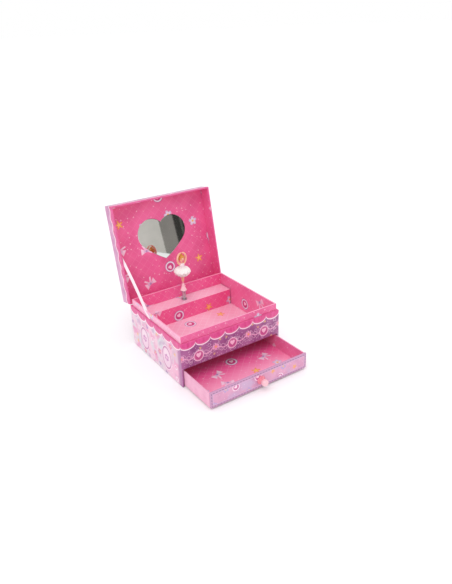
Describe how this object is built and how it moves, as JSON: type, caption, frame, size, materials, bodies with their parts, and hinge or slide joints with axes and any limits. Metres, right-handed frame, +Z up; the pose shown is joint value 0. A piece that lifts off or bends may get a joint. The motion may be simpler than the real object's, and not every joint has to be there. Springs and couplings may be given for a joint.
{
  "type": "wind up music box",
  "caption": "Paper-covered musical jewellery box with a hinged mirror lid, a pull-out drawer, a pop-up dancer on a spring and a wind-up clockwork movement.",
  "frame": {"origin": "middle of the case's underside, on the surface the box stands on", "axes": "+X to the right, +Y to the back where the lid is hinged, +Z up"},
  "size_m": [0.15, 0.2526, 0.1917],
  "materials": {
    "case_paper": "satin",
    "lid_paper": "satin",
    "lining_paper": "satin",
    "drawer_front_paper": "satin",
    "drawer_paper": "satin",
    "hinge_cloth": "matte",
    "ribbon": "satin",
    "mirror": "polished",
    "gem": "gloss",
    "knob_plastic": "gloss",
    "zinc": "satin",
    "steel": "satin",
    "brass": "satin",
    "key_metal": "polished",
    "fly_plastic": "matte",
    "foot_plastic": "gloss",
    "doll_plastic": "satin",
    "tulle": "matte"
  },
  "bodies": {
    "case": {"case_bottom": "case_paper", "case_left_wall": "case_paper", "case_right_wall": "case_paper", "case_back_wall": "case_paper", "case_front_fascia": "case_paper", "tray_floor": "lining_paper", "stage_front": "lining_paper", "stage_top": "lining_paper", "neck_front": "lining_paper", "neck_left": "lining_paper", "neck_right": "lining_paper", "neck_back": "lining_paper", "hinge_cloth": "hinge_cloth", "lid_ribbon": "ribbon", "bedplate": "zinc", "bedplate_screws": "steel", "spring_housing": "zinc", "housing_cap": "zinc", "mainspring": "steel", "comb": "steel", "comb_rest": "zinc", "comb_screws": "steel", "governor_bracket": "zinc", "governor_screw": "steel"},
    "lid": {"lid_panel": "lid_paper", "lid_left_wall": "lid_paper", "lid_right_wall": "lid_paper", "lid_front_wall": "lid_paper", "lid_back_wall": "lid_paper", "lid_lining": "lining_paper", "heart_mirror": "mirror", "heart_gem": "gem"},
    "drawer": {"drawer_front": "drawer_front_paper", "drawer_bottom": "drawer_paper", "drawer_left_wall": "drawer_paper", "drawer_right_wall": "drawer_paper", "drawer_back_wall": "drawer_paper", "drawer_knob": "knob_plastic", "knob_screw": "steel"},
    "drive": {"crown_wheel": "brass"},
    "winding": {"winding_arbor": "steel", "winding_key": "key_metal"},
    "cylinder": {"cylinder_arbor": "steel", "cylinder_pinion": "brass", "cylinder_gear": "brass", "cylinder_drum": "brass", "spindle_cup": "zinc"},
    "governor": {"governor_arbor": "steel", "worm_wheel": "brass"},
    "fly": {"worm_shaft": "steel", "fly_blades": "fly_plastic"},
    "popup": {"popup_spring": "steel", "spring_ferrule": "zinc"},
    "dancer": {"dancer_foot": "foot_plastic", "dancer_figure": "doll_plastic", "dancer_tutu": "tulle"}
  },
  "joints": [
    {"name": "lid_hinge", "type": "hinge", "parent": "case", "child": "lid", "pos_m": [0, 0.067, 0.0602], "axis": [-1, 0, 0], "range_deg": [-101, 0], "deforming": ["hinge_cloth", "lid_ribbon"]},
    {"name": "drawer_slide", "type": "slide", "parent": "case", "child": "drawer", "axis": [0, -1, 0], "range_m": [-0.0585, 0.028]},
    {"name": "cylinder_spin", "type": "hinge", "parent": "case", "child": "cylinder", "pos_m": [0, 0.051, 0.04], "axis": [0, 0, 1], "continuous": true},
    {"name": "drive_spin", "type": "hinge", "parent": "case", "child": "drive", "pos_m": [0, 0.046, 0.0148], "axis": [0, 1, 0], "continuous": true},
    {"name": "key_wind", "type": "hinge", "parent": "drive", "child": "winding", "pos_m": [0, 0.06, 0.0148], "axis": [0, -1, 0], "range_deg": [0, 1260]},
    {"name": "governor_spin", "type": "hinge", "parent": "case", "child": "governor", "pos_m": [-0.0104, 0.051, 0.04], "axis": [0, 0, 1], "continuous": true},
    {"name": "fly_spin", "type": "hinge", "parent": "case", "child": "fly", "pos_m": [-0.01476, 0.051, 0.03913], "axis": [0, 1, 0], "continuous": true},
    {"name": "dancer_fold", "type": "hinge", "parent": "case", "child": "popup", "pos_m": [0, 0.051, 0.058], "axis": [-1, 0, 0], "range_deg": [-84, 0], "deforming": ["popup_spring"]},
    {"name": "dancer_spin", "type": "hinge", "parent": "popup", "child": "dancer", "pos_m": [0, 0.051, 0.07], "axis": [0, 0, 1], "continuous": true}
  ],
  "couplings": [
    {"joint": "drive_spin", "follows": "cylinder_spin", "ratio": 0.3125},
    {"joint": "governor_spin", "follows": "cylinder_spin", "ratio": -3.3333},
    {"joint": "fly_spin", "follows": "cylinder_spin", "ratio": -46.667},
    {"joint": "dancer_spin", "follows": "cylinder_spin", "ratio": 1},
    {"joint": "dancer_fold", "follows": "lid_hinge", "ratio": 0.8316}
  ]
}
